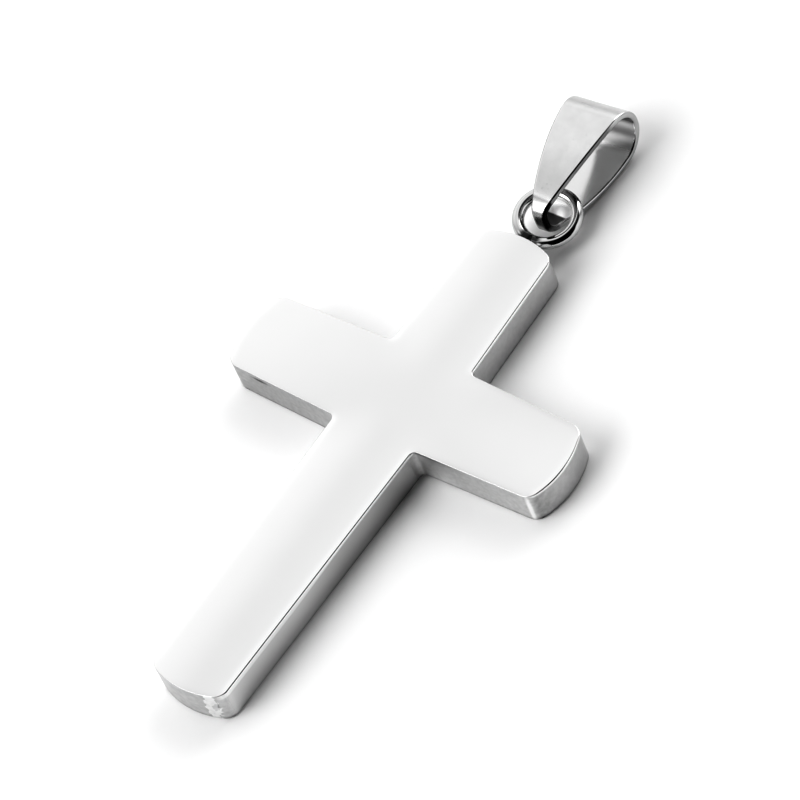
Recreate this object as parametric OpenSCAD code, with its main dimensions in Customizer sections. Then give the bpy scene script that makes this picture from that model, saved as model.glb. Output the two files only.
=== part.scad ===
// Cross pendant lying on its back: a thick cross with a ring soldered to its top end,
// and a tapered drop-shaped bail hanging in the ring.
// Millimetres, +X to the right arm, +Y to the top end, +Z out of the face. Floor at z = 0.

/* [Cross] */
// thickness of the plate the cross is cut from
plate_thickness = 3.5; // [3.2:0.1:4.5]
// from the middle of the crossing to the crown of the foot end
foot_reach = 32; // [26:0.5:40]
// from the middle of the crossing to the crown of the top end
top_reach = 18; // [14:0.5:24]
// from the middle of the crossing to the crown of each side end
side_reach = 17; // [13:0.5:22]
// width of the upright where it meets the crossing
upright_waist = 8.5; // [7.8:0.1:10]
// width of the side arms where they meet the crossing
side_waist = 8.5; // [7.9:0.1:10]
// width of the upright at the corners of its ends
upright_end = 7.7; // [6:0.1:7.8]
// width of the side arms at the corners of their ends
side_end = 7.8; // [6:0.1:7.9]
// how far the foot and top ends bow outward between their corners
upright_bow = 0.9; // [0.5:0.1:1.4]
// how far the side ends bow outward between their corners
side_bow = 1.0; // [0.5:0.1:1.4]
// rounding of the eight outer corners
end_corner = 1.3; // [0.6:0.1:1.6]
// rounding of the four inner corners
inner_corner = 0.7; // [0.3:0.1:1.5]

/* [Ring] */
// outside diameter of the ring
ring_outer = 6.25; // [5.8:0.05:7]
// diameter of the ring's round wire
ring_wire = 1.1; // [0.9:0.05:1.2]
// space between the crown of the top end and the ring, filled by the solder
ring_standoff = 0.35; // [0.1:0.05:0.6]
// sideways place of the ring, from the middle of the top end
ring_offset = -0.1; // [-0.4:0.1:0.4]
// how far the ring leans to the right
ring_roll = 6.5; // [0:0.5:8]
// how far the ring rises away from the cross
ring_pitch = 3; // [0:0.5:5]

/* [Solder] */
// width of the solder joint along the wire
solder_width = 0.9; // [0.7:0.1:1.2]
// thickness of the solder round the wire
solder_wall = 0.2; // [0.1:0.05:0.3]
// sideways place of the joint, from the middle of the ring
solder_offset = -0.65; // [-0.8:0.05:0]
// how deep the joint runs into the end of the cross
solder_depth = 0.6; // [0.4:0.1:1]

/* [Bail] */
// thickness of the strip
strip_thickness = 0.6; // [0.4:0.05:0.8]
// outside radius of the wide fold
fold_radius = 2.95; // [2.7:0.05:3.4]
// outside radius of the curled tip
tip_radius = 2.1; // [1.7:0.05:2.3]
// distance between the centres of the fold and the tip
fold_to_tip = 7.7; // [7:0.1:9]
// outside radius of the two bowed leaves
leaf_radius = 22.5; // [18:0.5:30]
// width of the strip at the fold
fold_width = 5.75; // [4.5:0.05:7]
// width of the strip at the tip
tip_width = 1.1; // [1:0.05:1.6]
// how far the long edges of the strip bow outward
edge_bow = 0.45; // [0.2:0.05:0.7]
// rounding of the strip's outline beside the fold
fold_corner = 0.4; // [0.2:0.1:1]
// rounding of the strip's outline beside the tip
tip_corner = 0.45; // [0.2:0.05:0.45]
// turn of the bail on the ring, seen from above
bail_yaw = 5.5; // [0:0.5:7]
// from the middle of the ring to the middle of the fold
bail_hang = 8.3; // [8:0.1:8.8]
// sideways place of the fold, from the middle of the ring
bail_offset = -0.45; // [-0.8:0.05:0.3]

/* [Fits] */
// smallest space between the ring's wire and the back leaf of the bail
leaf_clearance = 0.08; // [0.05:0.01:0.2]

/* [Hidden] */
$fn = 120;
// smoothness of the thin wire and of the very large leaf circles
wire_steps = 32;
leaf_steps = 360;
// overlap of solids that are joined, and reach of shapes that only cut
joint_overlap = 0.2;
cut_reach = 4;
// how far shapes that touch in a tangent are pressed into each other
tangent_bite = 0.002;
// straight steps along a long edge of the strip and round one of its corners
edge_steps = 10;
corner_steps = 5;

ring_mid = (ring_outer - ring_wire) / 2;
wire_radius = ring_wire / 2;
sleeve_radius = wire_radius + solder_wall;
ring_y = top_reach + ring_standoff + ring_outer / 2;

// centre of the leaf arcs: behind the fold towards the tip, and off the middle plane
leaf_to_fold = leaf_radius - fold_radius;
leaf_to_tip = leaf_radius - tip_radius;
leaf_back = (pow(leaf_to_fold, 2) - pow(leaf_to_tip, 2) + pow(fold_to_tip, 2)) / (2 * fold_to_tip);
leaf_off = sqrt(pow(leaf_to_fold, 2) - pow(leaf_back, 2));
bail_height = 2 * (leaf_radius - leaf_off);
bail_y = ring_y + bail_hang;
strip_start = -fold_to_tip - tip_radius;

// the ring lies as low as the edge of the bail's back leaf lets it
edge_x = strip_half(ring_mid - bail_hang);
edge_y = sqrt(pow(ring_mid, 2) - pow(edge_x, 2));
edge_place = (edge_y - bail_hang) * cos(bail_yaw) - (edge_x - bail_offset) * sin(bail_yaw);
wire_path = leaf_radius - strip_thickness - leaf_clearance - wire_radius;
wire_rise = leaf_radius - sqrt(pow(wire_path, 2) - pow(edge_place + leaf_back, 2));
ring_height = wire_rise + edge_x * sin(ring_roll) - edge_y * sin(ring_pitch);

// everything is moved along Y to put the middle of the whole pendant over the origin
fold_reach = fold_radius * cos(bail_yaw) + fold_width / 2 * sin(bail_yaw);
shift_y = (foot_reach - bail_y - fold_reach) / 2;

// half width of the strip at a place along it, measured from the fold's centre:
// a straight taper plus a parabola that is edge_bow high in the middle
function strip_half(place) =
    let (share = (place - strip_start) / (fold_radius - strip_start))
    (tip_width + (fold_width - tip_width) * share) / 2 + edge_bow * (1 - pow(2 * share - 1, 2));

function unit(v) = v / norm(v);
function across(v) = [v[1], -v[0]];
function mirrored(p) = [-p[0], p[1]];

// one arm pointing to +Y: half widths at the crossing and at the end's corners,
// start of the arm, reach to the crown and bow of the end
module arm(waist, end, start, reach, bow) {
    root = [waist, start];
    bow_radius = (pow(end, 2) + pow(bow, 2)) / (2 * bow);
    bow_centre = [0, reach - bow_radius];
    along = unit([end, reach - bow] - root);
    outward = across(along);
    inner = root - end_corner * outward - bow_centre;
    half_b = inner * along;
    run = sqrt(pow(half_b, 2) - inner * inner + pow(bow_radius - end_corner, 2)) - half_b;
    round_centre = root - end_corner * outward + run * along;
    side_touch = round_centre + (end_corner - tangent_bite) * outward;
    fan = unit(round_centre - bow_centre) * (bow_radius + cut_reach) + bow_centre;
    polygon([
        [waist, 0],
        root,
        side_touch,
        round_centre,
        mirrored(round_centre),
        mirrored(side_touch),
        mirrored(root),
        [-waist, 0],
    ]);
    for (side = [-1, 1]) {
        translate([side * round_centre[0], round_centre[1]]) circle(r = end_corner);
    }
    intersection() {
        translate(bow_centre) circle(r = bow_radius - tangent_bite);
        polygon([
            [0, round_centre[1] - end_corner],
            round_centre,
            fan,
            mirrored(fan),
            mirrored(round_centre),
        ]);
    }
}

// filled inner corner between an upright arm of the given reach and the right side arm
module inner_fillet(reach) {
    crossing = [upright_waist, side_waist] / 2;
    up = unit([upright_end / 2, reach - upright_bow] - crossing);
    out = unit([side_reach - side_bow, side_end / 2] - crossing);
    half_angle = acos(up * out) / 2;
    touch = inner_corner / tan(half_angle);
    middle = crossing + unit(up + out) * inner_corner / sin(half_angle);
    difference() {
        polygon([
            crossing - unit(up + out) * joint_overlap,
            crossing + out * touch - up * joint_overlap,
            crossing + out * touch,
            middle,
            crossing + up * touch,
            crossing + up * touch - out * joint_overlap,
        ]);
        translate(middle) circle(r = inner_corner + tangent_bite);
    }
}

module cross_outline() {
    square([upright_waist, side_waist], center = true);
    arm(upright_waist / 2, upright_end / 2, side_waist / 2, top_reach, upright_bow);
    mirror([0, 1]) arm(upright_waist / 2, upright_end / 2, side_waist / 2, foot_reach, upright_bow);
    for (turn = [-90, 90]) {
        rotate(turn) arm(side_waist / 2, side_end / 2, upright_waist / 2, side_reach, side_bow);
    }
    for (side = [0, 1]) {
        mirror([side, 0]) inner_fillet(top_reach);
        mirror([side, 0]) mirror([0, 1]) inner_fillet(foot_reach);
    }
}

// wire ring with a short sleeve of solder round it where it meets the cross
module soldered_ring() {
    translate([ring_offset, ring_y, ring_height])
        rotate([ring_pitch, ring_roll, 0]) {
            rotate_extrude() translate([ring_mid, 0]) circle(r = wire_radius, $fn = wire_steps);
            translate([solder_offset, -ring_mid, 0])
                rotate([0, 90, 0])
                    cylinder(h = solder_width, r = sleeve_radius, center = true, $fn = wire_steps);
        }
}

// bridge from the sleeve into the end of the cross
module solder_bridge() {
    bridge_width = solder_width - joint_overlap;
    bridge_height = ring_wire + joint_overlap;
    translate([
        ring_offset + solder_offset - bridge_width / 2,
        top_reach - solder_depth,
        ring_height - bridge_height / 2,
    ])
        cube([bridge_width, solder_depth + ring_standoff + wire_radius, bridge_height]);
}

module cross() {
    color("silver")
        translate([0, shift_y, 0]) {
            linear_extrude(height = plate_thickness) cross_outline();
            soldered_ring();
            solder_bridge();
        }
}

// side view of the bail, filled: fold's centre at the origin, tip towards -X
module drop(inset) {
    tip = [-fold_to_tip, 0];
    leaf = leaf_radius - inset - tangent_bite;
    circle(r = fold_radius - inset);
    translate(tip) circle(r = tip_radius - inset);
    intersection() {
        translate([-leaf_back, leaf_off]) circle(r = leaf, $fn = leaf_steps);
        translate([-leaf_back, -leaf_off]) circle(r = leaf, $fn = leaf_steps);
        polygon([
            [0, 0],
            unit([leaf_back, leaf_off]) * (fold_radius + cut_reach),
            tip + unit([leaf_back - fold_to_tip, leaf_off]) * (tip_radius + cut_reach),
            tip,
            tip + unit([leaf_back - fold_to_tip, -leaf_off]) * (tip_radius + cut_reach),
            unit([leaf_back, -leaf_off]) * (fold_radius + cut_reach),
        ]);
    }
}

// strip seen from above, tip towards -Y: bowed long edges and rounded corners,
// a little longer than the bail
module strip_outline() {
    tip_end = strip_start - joint_overlap;
    fold_end = fold_radius + joint_overlap;
    places = [
        for (step = [0 : corner_steps - 1])
            tip_end + tip_corner * (1 - cos(90 * step / corner_steps)),
        for (step = [0 : edge_steps])
            tip_end + tip_corner + (fold_end - tip_end - tip_corner - fold_corner) * step / edge_steps,
        for (step = [1 : corner_steps])
            fold_end - fold_corner * (1 - sin(90 * step / corner_steps)),
    ];
    edge = [
        for (place = places)
            [strip_half(place) - rounded_off(tip_end + tip_corner - place, tip_corner)
                - rounded_off(place - fold_end + fold_corner, fold_corner), place]
    ];
    polygon([
        for (point = edge) point,
        for (step = [len(edge) - 1 : -1 : 0]) mirrored(edge[step]),
    ]);
}

// how much a corner's rounding takes off at a distance past its start
function rounded_off(past, corner) =
    past > 0 ? corner - sqrt(max(0, pow(corner, 2) - pow(past, 2))) : 0;

module bail() {
    color("gainsboro")
        translate([ring_offset + bail_offset, bail_y + shift_y, bail_height / 2])
            rotate([0, 0, bail_yaw])
                intersection() {
                    rotate([90, 0, 90])
                        linear_extrude(height = 2 * fold_width, center = true)
                            difference() {
                                drop(0);
                                drop(strip_thickness);
                            }
                    linear_extrude(height = 2 * bail_height, center = true) strip_outline();
                }
}

cross();
bail();
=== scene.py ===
import math

import bpy
from mathutils import Matrix, Vector


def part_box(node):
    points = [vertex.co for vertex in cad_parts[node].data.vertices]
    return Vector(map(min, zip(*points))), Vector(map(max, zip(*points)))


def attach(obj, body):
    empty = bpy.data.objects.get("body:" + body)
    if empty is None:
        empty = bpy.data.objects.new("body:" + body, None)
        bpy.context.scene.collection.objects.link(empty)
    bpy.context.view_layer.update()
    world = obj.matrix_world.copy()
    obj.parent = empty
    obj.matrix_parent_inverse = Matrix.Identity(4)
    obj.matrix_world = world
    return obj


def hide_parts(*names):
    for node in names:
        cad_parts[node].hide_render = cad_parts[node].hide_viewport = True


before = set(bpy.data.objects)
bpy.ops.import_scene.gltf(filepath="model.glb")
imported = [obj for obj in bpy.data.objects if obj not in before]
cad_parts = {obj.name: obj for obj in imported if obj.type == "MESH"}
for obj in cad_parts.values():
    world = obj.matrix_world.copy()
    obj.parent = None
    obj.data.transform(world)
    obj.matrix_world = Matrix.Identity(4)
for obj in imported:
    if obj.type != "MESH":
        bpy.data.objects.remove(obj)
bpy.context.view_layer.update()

MM = 0.001
cross_low, cross_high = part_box("cross")
foot_reach = 32
crossing_y = cross_low.y / MM + foot_reach

# Camera: a long lens high above the foot of the cross and to its right, rolled so that the
# cross lies along the picture's diagonal, as in the photograph.
camera_place = Vector((214.998, crossing_y - 146.593, 331.396)) * MM
camera_turn = (35.716, 15.118, 35.845)
camera_lens = 225.008

camera = bpy.data.objects.new("camera", bpy.data.cameras.new("camera"))
camera.data.sensor_width = 36
camera.data.lens = camera_lens
camera.data.clip_start = 0.05
camera.data.clip_end = 10
camera.location = camera_place
camera.rotation_euler = [math.radians(turn) for turn in camera_turn]
bpy.context.scene.collection.objects.link(camera)
bpy.context.scene.camera = camera


# Cross: one thick cross cut from steel plate, its ends bowed and its corners rounded, then
# polished to a mirror. Polishing breaks the edges and lets the face fall away beside them, more
# on the walls that face sideways than on those that face the foot or the top.
plate_thickness = cross_high.z / MM
top_reach = 18
side_reach = cross_high.x / MM
upright_half = 4.25
side_half = 4.25
upright_end = 3.85
side_end = 3.9
upright_bow = 0.9
side_bow = 1.0
end_corner = 1.3
inner_corner = 0.5
sideways_break = 0.15
lengthwise_break = 0.03
floor_break = 0.15
roll_width = 0.8
sideways_drop = 0.045
lengthwise_drop = 0.0135
corner_steps = 10
bow_steps = 10
inner_steps = 8
floor_steps = 4
break_steps = 8
roll_steps = 12


def polar(radius, angle):
    return Vector((radius * math.cos(angle), radius * math.sin(angle)))


def arc(centre, radius, start, end, steps):
    """Points and outward normals along an arc, both ends included."""
    angles = [start + (end - start) * step / steps for step in range(steps + 1)]
    return [(centre + polar(radius, angle), polar(1, angle)) for angle in angles]


def arm_end(half, end, start, reach, bow):
    """Rounded corner and half of the bowed end of an arm that points along +Y, and the angle
    that its side faces."""
    bow_radius = (end ** 2 + bow ** 2) / (2 * bow)
    bow_centre = Vector((0, reach - bow_radius))
    root = Vector((half, start))
    along = (Vector((end, reach - bow)) - root).normalized()
    outward = Vector((along.y, -along.x))
    inner_root = root - end_corner * outward
    from_bow = inner_root - bow_centre
    passed = from_bow.dot(along)
    run = math.sqrt(passed ** 2 - from_bow.dot(from_bow) + (bow_radius - end_corner) ** 2) - passed
    corner = inner_root + run * along
    side_angle = math.atan2(outward.y, outward.x)
    bow_angle = math.atan2(corner.y - bow_centre.y, corner.x)
    points = arc(corner, end_corner, side_angle, bow_angle, corner_steps)
    points += arc(bow_centre, bow_radius, bow_angle, math.pi / 2, bow_steps)[1:]
    return points, side_angle


def inner_round(crossing, left_angle, right_angle):
    """Hollow rounding between two sides, whose outward normals have these angles."""
    middle = (left_angle + right_angle) / 2
    half_turn = (left_angle - right_angle) / 2
    centre = crossing + polar(inner_corner / math.cos(half_turn), middle)
    turned = arc(centre, inner_corner, right_angle + math.pi, left_angle + math.pi, inner_steps)
    return [(point, -normal) for point, normal in reversed(turned)]


def cross_outline():
    """Points and outward normals round the cross, anticlockwise from its right arm."""
    arms = [
        (side_half, side_end, upright_half, side_reach, side_bow),
        (upright_half, upright_end, side_half, top_reach, upright_bow),
        (side_half, side_end, upright_half, side_reach, side_bow),
        (upright_half, upright_end, side_half, foot_reach, upright_bow),
    ]
    outline = []
    for number, sizes in enumerate(arms):
        turn = Matrix.Rotation(math.pi / 2 * (number - 1), 2)
        half_end, side_angle = arm_end(*sizes)
        other_half = [
            (Vector((-point.x, point.y)), Vector((-normal.x, normal.y)))
            for point, normal in reversed(half_end[:-1])
        ]
        outline += [(turn @ point, turn @ normal) for point, normal in half_end + other_half]
        next_angle = arm_end(*arms[(number + 1) % 4])[1]
        corner = turn @ Vector((-sizes[0], sizes[2]))
        leaving = math.pi - side_angle + math.pi / 2 * (number - 1)
        entering = next_angle + math.pi / 2 * number
        outline += inner_round(corner, leaving, entering)
    return outline


def skin(name, rings, normals, closed):
    """Mesh through rings of points, closed into a loop of rings or capped at both ends."""
    mesh = bpy.data.meshes.new(name)
    count = len(rings[0])
    faces = []
    for row in range(len(rings) - (0 if closed else 1)):
        this = row * count
        after = (row + 1) % len(rings) * count
        for corner in range(count):
            beside = (corner + 1) % count
            faces.append((this + corner, this + beside, after + beside, after + corner))
    if not closed:
        faces.append(tuple(reversed(range(count))))
        faces.append(tuple(range((len(rings) - 1) * count, len(rings) * count)))
    points = [point * MM for ring in rings for point in ring]
    mesh.from_pydata(points, [], faces)
    mesh.shade_smooth()
    if normals:
        mesh.normals_split_custom_set_from_vertices([normal for ring in normals for normal in ring])
    piece = bpy.data.objects.new(name, mesh)
    bpy.context.scene.collection.objects.link(piece)
    return piece


def plate_edge(facing):
    """Inset, height and slope angle of the normal, from the floor side up over the face.

    facing is 0 where the wall faces sideways, and 1 or -1 where it faces the top or the foot."""
    profile = []
    for step in range(floor_steps + 1):
        angle = math.pi / 2 * (step / floor_steps - 1)
        inset = floor_break * (1 - math.cos(angle))
        profile.append((inset, floor_break * (1 + math.sin(angle)), angle))
    edge = sideways_break + (lengthwise_break - sideways_break) * abs(facing)
    drop = sideways_drop + (lengthwise_drop - sideways_drop) * abs(facing)
    slope = 3 * drop / roll_width
    last_angle = math.pi / 2 - math.atan(slope)
    shoulder = plate_thickness - drop - edge * math.sin(last_angle)
    for step in range(break_steps + 1):
        angle = last_angle * step / break_steps
        profile.append((edge * (1 - math.cos(angle)), shoulder + edge * math.sin(angle), angle))
    start = profile[-1][0]
    for step in range(1, roll_steps + 1):
        share = step / roll_steps
        height = plate_thickness - drop * (1 - share) ** 3
        angle = math.pi / 2 - math.atan(slope * (1 - share) ** 2)
        profile.append((start + roll_width * share, height, angle))
    return profile


outline = cross_outline()
crossing = Vector((0, crossing_y))
plate_rings = []
plate_normals = []
for row in zip(*[plate_edge(outward.y) for point, outward in outline]):
    ring = []
    normals = []
    for (point, outward), (inset, height, angle) in zip(outline, row):
        ring.append((point - inset * outward + crossing).to_3d() + Vector((0, 0, height)))
        normals.append((math.cos(angle) * outward).to_3d() + Vector((0, 0, math.sin(angle))))
    plate_rings.append(ring)
    plate_normals.append(normals)
cross_plate = skin("cross_plate", plate_rings, plate_normals, closed=False)
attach(cross_plate, "root")
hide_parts("cross")


class Value:
    """A shader socket that takes part in Python sums, each of which adds a Math node."""

    def __init__(self, finish, socket):
        self.finish = finish
        self.socket = socket

    def sum(self, operation, first, second):
        return self.finish.node("ShaderNodeMath", {"operation": operation}, {0: first, 1: second})

    def __add__(self, other):
        return self.sum("ADD", self, other)

    def __sub__(self, other):
        return self.sum("SUBTRACT", self, other)

    def __rsub__(self, other):
        return self.sum("SUBTRACT", other, self)

    def __mul__(self, other):
        return self.sum("MULTIPLY", self, other)

    __radd__ = __add__
    __rmul__ = __mul__


class Finish:
    """A node tree under construction, for a material or for the world."""

    def __init__(self, owner):
        owner.use_nodes = True
        self.tree = owner.node_tree
        self.tree.nodes.clear()

    def node(self, kind, settings=None, inputs=None, output=0):
        """Adds a node: settings first, then values or links, and returns one of its outputs."""
        node = self.tree.nodes.new(kind)
        for name, value in (settings or {}).items():
            setattr(node, name, value)
        for name, value in (inputs or {}).items():
            if isinstance(value, Value):
                self.tree.links.new(value.socket, node.inputs[name])
            else:
                node.inputs[name].default_value = value
        return Value(self, node.outputs[output]) if node.outputs else None

    def ramp(self, value, start, full):
        """0 at start and 1 at full, with a smooth passage between them."""
        return self.node("ShaderNodeMapRange", {"interpolation_type": "SMOOTHSTEP"}, {
            "Value": value, "From Min": start, "From Max": full,
        })

    def place(self):
        """The place on the piece in millimetres."""
        where = self.node("ShaderNodeTexCoord", output="Object")
        return self.vector("SCALE", {0: where, "Scale": 1 / MM})

    def facing(self):
        """The direction that the surface faces."""
        return self.node("ShaderNodeNewGeometry", output="Normal")

    def axis(self, vector, name):
        return self.node("ShaderNodeSeparateXYZ", inputs={0: vector}, output=name)

    def vector(self, operation, inputs, output="Vector"):
        return self.node("ShaderNodeVectorMath", {"operation": operation}, inputs, output)

    def noise(self, vector, scale, detail=2):
        """Noise from 0 to 1. On a piece its lumps are about 1 / scale millimetres wide."""
        inputs = {"Vector": vector, "Scale": scale, "Detail": detail}
        return self.node("ShaderNodeTexNoise", inputs=inputs, output="Fac")

    def mark(self, vector, middle, reach):
        """1 in the middle of a mark on a piece and 0 at its reach, which is given for each axis."""
        away = self.vector("SUBTRACT", {0: vector, 1: middle})
        share = self.vector("LENGTH", {0: self.vector("DIVIDE", {0: away, 1: reach})}, "Value")
        return self.ramp(share, 1, 0)


def new_finish(piece, name):
    """An empty finish in the next material slot of a piece."""
    material = bpy.data.materials.new(name)
    piece.data.materials.append(material)
    return Finish(material)


# Every piece is of stainless steel, which polishing leaves faintly cloudy, with fine hairs that
# all run the same way.
cloud_scale = 0.26
hair_scale = 0.9
hair_turn = 0.5
hair_length = 14
hair_depth = 0.02 * MM
hair_relief = 0.04


def steel(finish, place, shade, roughness, scratch, blotch, dome=None):
    """Polished steel: shade is the share of the light that it throws back, scratch is how much
    its hairs roughen it, blotch how much its clouds roughen and dull it, and dome is its normal
    under the hairs, where it isn't the mesh's own."""
    clouds = finish.noise(place, cloud_scale, 3)
    drawn_out = finish.node("ShaderNodeMapping", inputs={
        "Vector": place, "Rotation": (0, 0, hair_turn), "Scale": (1, hair_length, 1),
    })
    hairs = finish.noise(drawn_out, hair_scale)
    grey = shade * (1 - blotch * clouds)
    relief = {"Strength": hair_relief, "Distance": hair_depth, "Height": hairs}
    if dome:
        relief["Normal"] = dome
    surface = finish.node("ShaderNodeBsdfPrincipled", inputs={
        "Base Color": finish.node("ShaderNodeCombineColor", inputs={0: grey, 1: grey, 2: grey}),
        "Metallic": 1.0,
        "Roughness": roughness + scratch * hairs + blotch * clouds,
        "Normal": finish.node("ShaderNodeBump", inputs=relief),
    })
    finish.node("ShaderNodeOutputMaterial", inputs={"Surface": surface})


# The face is polished slightly domed, highest along the middle of each arm. Walls that look
# towards the foot, and the right-hand walls of the top and right arms, are only satin. All the
# right-hand walls have a painted highlight along their top rim and painted shade below it. Marks,
# and spots of painted light and shade, are given by their middle and reach.
dome_across = 80
dome_along = 400
dome_side = 1.2
dome_blend = 5
crown_round = 1
mirror_roughness = 0.03
satin = 0.3
mottle_scale = 2.2
curl_scale = 4.5
foot_y = crossing_y - foot_reach
burnished_patch = (2.6, foot_y + 0.3, 1.8), (1.2, 2, 4)
dark_curls = (2.9, foot_y + 0.5, 1.8), (0.9, 2, 1.2)
corner_highlight = (15.68, crossing_y - 3.8, 1.6), (0.33, 0.33, 2.97)
dark_reflection_streak = (-12.7, crossing_y - 4.1, 2.95), (1.5, 1, 0.3)
painted_corner_light = (4.6, crossing_y - 4.2, 1.75), (4.5, 2, 6)

mirror = new_finish(cross_plate, "mirror_steel")
place = mirror.place()
side = mirror.axis(place, "X") - dome_side
up = mirror.axis(place, "Y") - crossing_y
height = mirror.axis(place, "Z")
depth = plate_thickness - height
beside = mirror.node("ShaderNodeMath", {"operation": "SQRT"}, {0: side * side + crown_round ** 2})
above = mirror.node("ShaderNodeMath", {"operation": "SQRT"}, {0: up * up + crown_round ** 2})
across = mirror.node("ShaderNodeMath", {"operation": "SMOOTH_MIN"}, {
    0: beside, 1: above, 2: dome_blend,
})
sunk = across * across * (0.5 / dome_across) + side * side * (0.5 / dome_along)
dome = mirror.node("ShaderNodeBump", inputs={"Height": 1 - sunk, "Distance": MM})

facing = mirror.facing()
front = mirror.ramp(mirror.axis(facing, "Y"), -0.05, -0.5)
right = mirror.ramp(mirror.axis(facing, "X"), 0.4, 0.9)
lower_foot = mirror.ramp(up, -13, -22)
under_rim = right * mirror.ramp(depth - 0.3 * lower_foot, 0.15, 0.4)
worn = under_rim * mirror.ramp(up, -9, -3)
# Painted contact shade: the walls facing the foot or the right darken towards the floor, where they
# meet it.
painted_contact_shade = (front + right) * mirror.ramp(height, 0.45, 0.1)
mottle = mirror.noise(place, mottle_scale, 4)
patch = front * mirror.ramp(mirror.mark(place, *burnished_patch) + 1.2 * mottle, 1.0, 1.12)
curl_noise = mirror.noise(place, curl_scale, 1)
curls = front * mirror.ramp(mirror.mark(place, *dark_curls) + curl_noise, 1.1, 1.2)
# Painted highlight: a bright line down the right arm's near corner, standing in for a reflection.
painted_highlight = front * mirror.mark(place, *corner_highlight)
# Painted reflection: a dark streak below the left arm's top edge, for a dark part of the room
# reflected there.
painted_dark_streak = front * mirror.mark(place, *dark_reflection_streak)
# Painted light: the wall facing the foot is lightened near the right arm's inner corner, where it
# would reflect a dark wall. It is also more satin there.
corner_light_and_satin = front * mirror.mark(place, *painted_corner_light) * mirror.ramp(depth, 0.1, 0.5)
# The patch and curls on the foot's end wall are real marks. The rest is painted highlight,
# reflection, light and contact shade.
marks_and_painted_light = 0.3 * patch - 0.2 * curls + 0.6 * painted_highlight - 0.5 * painted_dark_streak + 0.42 * corner_light_and_satin - 0.22 * painted_contact_shade
# Walls facing the foot: mottled, and painted darker for shade, least towards the right arm and the
# foot.
front_mottle_and_painted_shade = front * (0.3 * mottle + 0.006 * side - 0.0018 * up - 0.33)
# Painted light and shade on the right-hand walls: lighter overall with a bright rim at the top,
# darker below the rim, less so on the lower half of the foot.
right_rim_light_and_shade = 0.25 * right - (0.4 - 0.17 * lower_foot) * under_rim
worn_shade = worn * (0.15 * mottle - 0.06)
shade = 0.7 + marks_and_painted_light + front_mottle_and_painted_shade + right_rim_light_and_shade + worn_shade
roughness = mirror_roughness + satin * (front + worn + 0.5 * corner_light_and_satin)
steel(mirror, place, shade, roughness, scratch=0.02, blotch=0.02, dome=dome)


# Ring: round steel wire bent to a ring and closed where it is soldered to the top of the
# cross. It lies almost level and leans a little to the right. Beside the joint it is painted
# dark, for the shade in the gap between the ring and the cross.
ring_outer = 6.25
ring_wire = 1.1
ring_roll = math.radians(6.5)
ring_pitch = math.radians(3)
ring_side = -0.1
ring_height = 1.887
wire_radius = ring_wire / 2
ring_mid = (ring_outer - ring_wire) / 2
ring_y = cross_high.y / MM - ring_mid * math.cos(ring_pitch) - wire_radius
ring_steps = 144
wire_steps = 36
joint_shade_side = -0.1
joint_shade_reach = (1.8, 1.8, 1.8)

ring_lean = Matrix.Rotation(ring_roll, 3, "Y") @ Matrix.Rotation(ring_pitch, 3, "X")
ring_middle = Vector((ring_side, ring_y, ring_height))
ring_rings = []
ring_normals = []
for step in range(ring_steps):
    round_ring = math.tau * step / ring_steps
    out = Vector((math.cos(round_ring), math.sin(round_ring), 0))
    normals = []
    for part in range(wire_steps):
        round_wire = -math.tau * part / wire_steps
        normal = out * math.cos(round_wire) + Vector((0, 0, math.sin(round_wire)))
        normals.append(ring_lean @ normal)
    ring_normals.append(normals)
    wire_middle = ring_middle + ring_lean @ out * ring_mid
    ring_rings.append([wire_middle + normal * wire_radius for normal in normals])
soldered_ring = skin("soldered_ring", ring_rings, ring_normals, closed=True)
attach(soldered_ring, "root")
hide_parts("cross")

wire = new_finish(soldered_ring, "wire_steel")
place = wire.place()
joint_shade_middle = ring_middle + ring_lean @ Vector((joint_shade_side, -ring_mid, 0))
# Painted shade: the wire darkens beside the joint, and is a little rougher there.
painted_joint_shade = wire.ramp(wire.mark(place, joint_shade_middle, joint_shade_reach), 0.1, 0.5)
shade = 0.56 - 0.52 * painted_joint_shade
roughness = 0.03 + 0.05 * painted_joint_shade
steel(wire, place, shade, roughness, scratch=0.02, blotch=0.02)


# Solder joint: a short bead of hard solder that wraps the wire and runs into the end of the
# cross, left a little rough and darkened by the torch.
solder_width = 1.0
solder_wall = 0.24
solder_side = -0.33
solder_depth = 0.35
solder_behind = 0.5
solder_start = 0.9
solder_squareness = 4
solder_steps = 20
bead_steps = 28

solder_middle = ring_middle + ring_lean @ Vector((solder_side, -ring_mid, 0))
plate_top = crossing_y + top_reach
solder_rings = []
for step in range(solder_steps + 1):
    share = 2 * step / solder_steps - 1
    swell = math.sqrt(max(0, 1 - abs(share) ** solder_squareness))
    radius = wire_radius * solder_start + (solder_wall + wire_radius * (1 - solder_start)) * swell
    reach = (solder_middle.y - plate_top + solder_depth) * swell
    ring = []
    for part in range(bead_steps):
        angle = math.tau * part / bead_steps
        across = radius * math.cos(angle)
        across *= (1 + reach / radius) if across < 0 else solder_behind
        offset = Vector((solder_width / 2 * share, across, radius * math.sin(angle)))
        ring.append(solder_middle + ring_lean @ offset)
    solder_rings.append(ring)
solder_joint = skin("solder_joint", solder_rings, None, closed=False)
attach(solder_joint, "root")
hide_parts("cross")

scorched = new_finish(solder_joint, "solder_steel")
steel(scorched, scorched.place(), shade=0.025, roughness=0.15, scratch=0.1, blotch=0.3)


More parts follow.
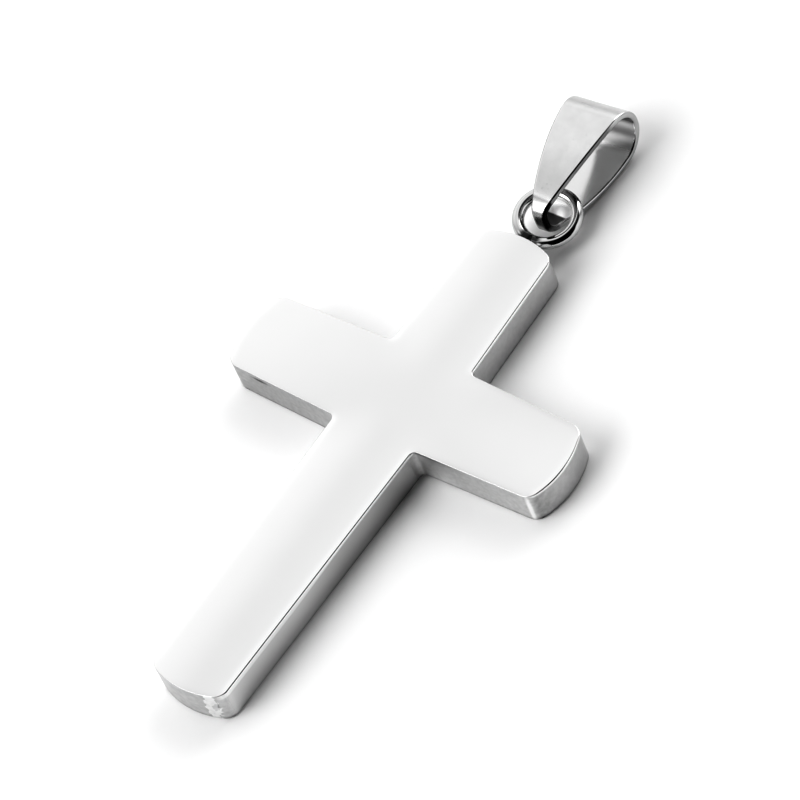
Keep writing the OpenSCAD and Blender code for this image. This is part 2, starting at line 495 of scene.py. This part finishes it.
# Bail: one tapered strip of steel bent to a closed drop-shaped loop, wide at its fold and
# narrow where it passes down through the ring. Its cut edges are tumbled slightly round.
strip_thickness = 0.6
fold_radius = 2.95
tip_radius = 2.1
fold_to_tip = 7.7
leaf_radius = 22.5
fold_width = 5.75
tip_width = 1.1
edge_bow = 0.45
fold_corner = 0.4
tip_corner = 0.45
outline_spare = 0.2
strip_edge = 0.2
tip_gather = 0.8
fold_steps = 48
leaf_steps = 40
tip_steps = 48
strip_edge_steps = 4
bail_yaw = math.radians(5.5)
bail_side = -0.55
bail_hang = 8.3

leaf_to_fold = leaf_radius - fold_radius
leaf_to_tip = leaf_radius - tip_radius
leaf_back = (leaf_to_fold ** 2 - leaf_to_tip ** 2 + fold_to_tip ** 2) / (2 * fold_to_tip)
leaf_off = math.sqrt(leaf_to_fold ** 2 - leaf_back ** 2)
fold_place = Vector((bail_side, ring_y + bail_hang, leaf_radius - leaf_off))
strip_start = -fold_to_tip - tip_radius
tip_end = strip_start - outline_spare
fold_end = fold_radius + outline_spare


def rounded_off(past, corner):
    """How much a corner's rounding takes off at a distance past its start."""
    return corner - math.sqrt(max(0, corner ** 2 - past ** 2)) if past > 0 else 0


def strip_half(along):
    """Half width of the strip at a place along it, measured from the fold's centre."""
    share = (along - strip_start) / (fold_radius - strip_start)
    half = (tip_width + (fold_width - tip_width) * share) / 2 + edge_bow * (1 - (2 * share - 1) ** 2)
    half -= rounded_off(tip_end + tip_corner - along, tip_corner)
    return half - rounded_off(along - fold_end + fold_corner, fold_corner)


def strip_slope(along):
    """How fast the strip's half width grows along it."""
    stride = 0.01
    return (strip_half(along + stride) - strip_half(along - stride)) / (2 * stride)


def tip_bend(start, start_angle):
    """The strip's turn at the tip, bent mostly at two places, between points at equal heights."""
    turn = math.tau - 2 * start_angle
    directions = []
    angles = []
    for step in range(2 * tip_steps + 1):
        share = step / (2 * tip_steps)
        gathered = tip_gather * math.sin(2 * math.tau * share) / (2 * math.tau)
        angle = start_angle + turn * (share - gathered)
        directions.append(Vector((-math.sin(angle), math.cos(angle))))
        angles.append(angle)
    strides = [
        sum(directions[1:2 * count:2], Vector((0, 0))) for count in range(1, tip_steps + 1)
    ]
    length = -2 * start.y / strides[-1].y
    return [
        (start + length * stride, polar(1, angle)) for stride, angle in zip(strides, angles[2::2])
    ]


def drop_path():
    """Points and outward normals of the bail's outside, seen from the side."""
    fold_angle = math.atan2(leaf_off, leaf_back)
    tip_angle = math.atan2(leaf_off, leaf_back - fold_to_tip)
    path = arc(Vector((0, 0)), fold_radius, -fold_angle, fold_angle, fold_steps)
    front_leaf = Vector((-leaf_back, -leaf_off))
    path += arc(front_leaf, leaf_radius, fold_angle, tip_angle, leaf_steps)[1:]
    path += tip_bend(path[-1][0], tip_angle)
    back_leaf = Vector((-leaf_back, leaf_off))
    back_angles = math.tau - tip_angle, math.tau - fold_angle
    path += arc(back_leaf, leaf_radius, *back_angles, leaf_steps)[1:-1]
    return path


def strip_section():
    """Round the strip's section: side, depth, inset from its edge, and normal."""
    section = []
    for side, out in ((1, 1), (-1, 1), (-1, -1), (1, -1)):
        for step in range(strip_edge_steps + 1):
            angle = math.pi / 2 * step / strip_edge_steps
            if side != out:
                angle = math.pi / 2 - angle
            inset = strip_edge * (1 - math.cos(angle))
            lift = strip_edge * (1 - math.sin(angle))
            depth = lift if out == 1 else strip_thickness - lift
            section.append((side, depth, inset, math.cos(angle) * side, math.sin(angle) * out))
    return section


bail_turn = Matrix.Rotation(bail_yaw, 3, "Z")
bail_rings = []
bail_normals = []
for point, normal in drop_path():
    ring = []
    normals = []
    for side, depth, inset, sideways, outward in strip_section():
        within = point - normal * depth
        offset = Vector((side * (strip_half(within.x) - inset), within.x, within.y))
        ring.append(fold_place + bail_turn @ offset)
        edge = Vector((sideways, -abs(sideways) * strip_slope(within.x), 0))
        edge += Vector((0, normal.x, normal.y)) * outward
        normals.append((bail_turn @ edge).normalized())
    bail_rings.append(ring)
    bail_normals.append(normals)
bail_strip = skin("bail_strip", bail_rings, bail_normals, closed=True)
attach(bail_strip, "root")
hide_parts("bail")

# Outside, the strip is smudged and pitted, painted brighter towards the ring, and rubbed rough
# where the ring swings on it; past the ring's middle it is painted dark for shade. Its fold and
# its cut edges are painted darker for shade, and the fold is rougher. How far up a place lies
# is measured from the ring's middle.
smudge_scale = 0.7
pit_scale = 3.5

tumbled = new_finish(bail_strip, "strip_steel")
place = tumbled.place()
from_ring = tumbled.axis(place, "Y") - ring_y
facing = tumbled.facing()
smudges = tumbled.noise(place, smudge_scale, 3)
pits = tumbled.ramp(tumbled.noise(place, pit_scale, 1), 0.7, 0.78)
sideways = tumbled.node("ShaderNodeMath", {"operation": "ABSOLUTE"}, {
    0: tumbled.axis(facing, "X"),
})
# Painted shade: the edges that face sideways are darkened.
painted_edge_shade = tumbled.ramp(sideways, 0.2, 0.6)
# Painted shade on the fold, which is also rougher.
fold_shade_and_satin = tumbled.ramp(tumbled.axis(facing, "Y"), 0.05, 0.4)
# Painted shade: the end of the strip past the ring's middle is darkened.
painted_tip_shade = tumbled.ramp(from_ring, 0.05, -0.25)
# Painted light: the outside is lightened towards the ring.
painted_light_near_ring = tumbled.ramp(from_ring, 5, 1)
worn = tumbled.ramp(from_ring, 0.9, -0.2)
front_leaf = tumbled.ramp(tumbled.axis(place, "Z"), 1.5, 3)
# Painted shade: more on the front leaf's edges near the fold.
painted_upper_edge_shade = painted_edge_shade * front_leaf * tumbled.ramp(from_ring, 9, 7.5)
shade = 0.74 + 0.08 * painted_light_near_ring - 0.16 * smudges - 0.1 * pits - 0.35 * painted_tip_shade - 0.11 * fold_shade_and_satin
shade = shade - 0.15 * painted_edge_shade - 0.33 * painted_upper_edge_shade
roughness = 0.05 + 0.06 * smudges + 0.14 * fold_shade_and_satin + 0.15 * worn
steel(tumbled, place, shade, roughness, scratch=0.04, blotch=0.04)

# Inside, the strip is rougher and painted darker for shade. What faces up is painted brighter,
# most of all where the leaves draw together, but the fold has painted shade inside and the end
# beside the ring is painted black for shade.
# Painted shade: the inside is a darker copy of the strip's steel.
rough_shaded_inside = new_finish(bail_strip, "strip_inside")
place = rough_shaded_inside.place()
from_ring = rough_shaded_inside.axis(place, "Y") - ring_y
facing = rough_shaded_inside.facing()
# Painted light: inside, what faces up is lighter.
upward = rough_shaded_inside.ramp(rough_shaded_inside.axis(facing, "Z"), -0.4, 0.3)
# Painted shade inside the fold, which is also rougher.
painted_fold_shade = upward * rough_shaded_inside.ramp(rough_shaded_inside.axis(facing, "Y"), -0.15, -0.6)
# Painted light: inside, what faces up is lighter where the leaves draw together, and rougher there.
gathered = upward * rough_shaded_inside.ramp(from_ring, 2.4, 1.7)
# Painted shade: inside, the end beside the ring is nearly black.
painted_black_shade = upward * rough_shaded_inside.ramp(from_ring, 0.9, 0.7)
shade = 0.3 + 0.4 * upward - 0.5 * painted_fold_shade + 0.3 * gathered - 0.96 * painted_black_shade
roughness = 0.18 - 0.1 * upward + 0.2 * painted_fold_shade + 0.25 * gathered
steel(rough_shaded_inside, place, shade, roughness, scratch=0.04, blotch=0.06)
section_points = len(strip_section())
inner_face = 3 * section_points // 4 - 1
for face in bail_strip.data.polygons:
    if face.index % section_points == inner_face:
        face.material_index = 1


# Studio: a matt white table in a tent of white cloth that is lit from outside. The cloth is to
# the left of and behind the pendant. Its open side, towards the camera, and a gap in its ceiling
# are dark. A light is azimuth from +X, elevation, reach and full width in degrees, and strength.
floor_size = 3.0
table_white = (0.9, 0.9, 0.9, 1)
room_glow = 0.13
soft_lights = {
    "tent_cloth": (165, 25, 90, 70, 0.76),
    "left_lamp": (160, 26, 40, 8, 0.6),
    "top_window": (112, 68, 25, 8, 0.5),
    "left_window": (250, 42, 36, 16, 4.4),
    "back_lamp": (93, 26, 32, 13, 2.9),
    "right_cloth": (28, 12, 36, 18, 1.2),
}
tent_opening = (330, 42, 50, 42)
ceiling_gap = (44, 60, 28, 19)
ceiling_gap_dark = 0.95

half = floor_size / 2
floor_mesh = bpy.data.meshes.new("floor")
floor_corners = [(-half, -half, 0), (half, -half, 0), (half, half, 0), (-half, half, 0)]
floor_mesh.from_pydata(floor_corners, [], [(0, 1, 2, 3)])
floor = bpy.data.objects.new("floor", floor_mesh)
bpy.context.scene.collection.objects.link(floor)
table = new_finish(floor, "white_table")
matt = table.node("ShaderNodeBsdfPrincipled", inputs={
    "Base Color": table_white, "Roughness": 0.6, "Specular IOR Level": 0.2,
})
table.node("ShaderNodeOutputMaterial", inputs={"Surface": matt})

world = bpy.data.worlds.new("studio")
bpy.context.scene.world = world
studio = Finish(world)
direction = studio.node("ShaderNodeTexCoord", output="Generated")


def patch_of_sky(azimuth, elevation, reach, full):
    """1 within the full width of a direction, falling smoothly to 0 at its reach."""
    turn, rise = math.radians(azimuth), math.radians(elevation)
    toward = (math.cos(turn) * math.cos(rise), math.sin(turn) * math.cos(rise), math.sin(rise))
    nearness = studio.vector("DOT_PRODUCT", {0: direction, 1: toward}, "Value")
    return studio.ramp(nearness, math.cos(math.radians(reach)), math.cos(math.radians(full)))


light = room_glow
for azimuth, elevation, reach, full, strength in soft_lights.values():
    light = light + strength * patch_of_sky(azimuth, elevation, reach, full)
light = light * (1 - patch_of_sky(*tent_opening))
light = light * (1 - ceiling_gap_dark * patch_of_sky(*ceiling_gap))
glow = studio.node("ShaderNodeBackground", inputs={"Color": (1, 1, 1, 1), "Strength": light})
studio.node("ShaderNodeOutputWorld", inputs={"Surface": glow})

display = bpy.context.scene.view_settings
display.view_transform = "Standard"
display.look = "None"
display.gamma = 0.75
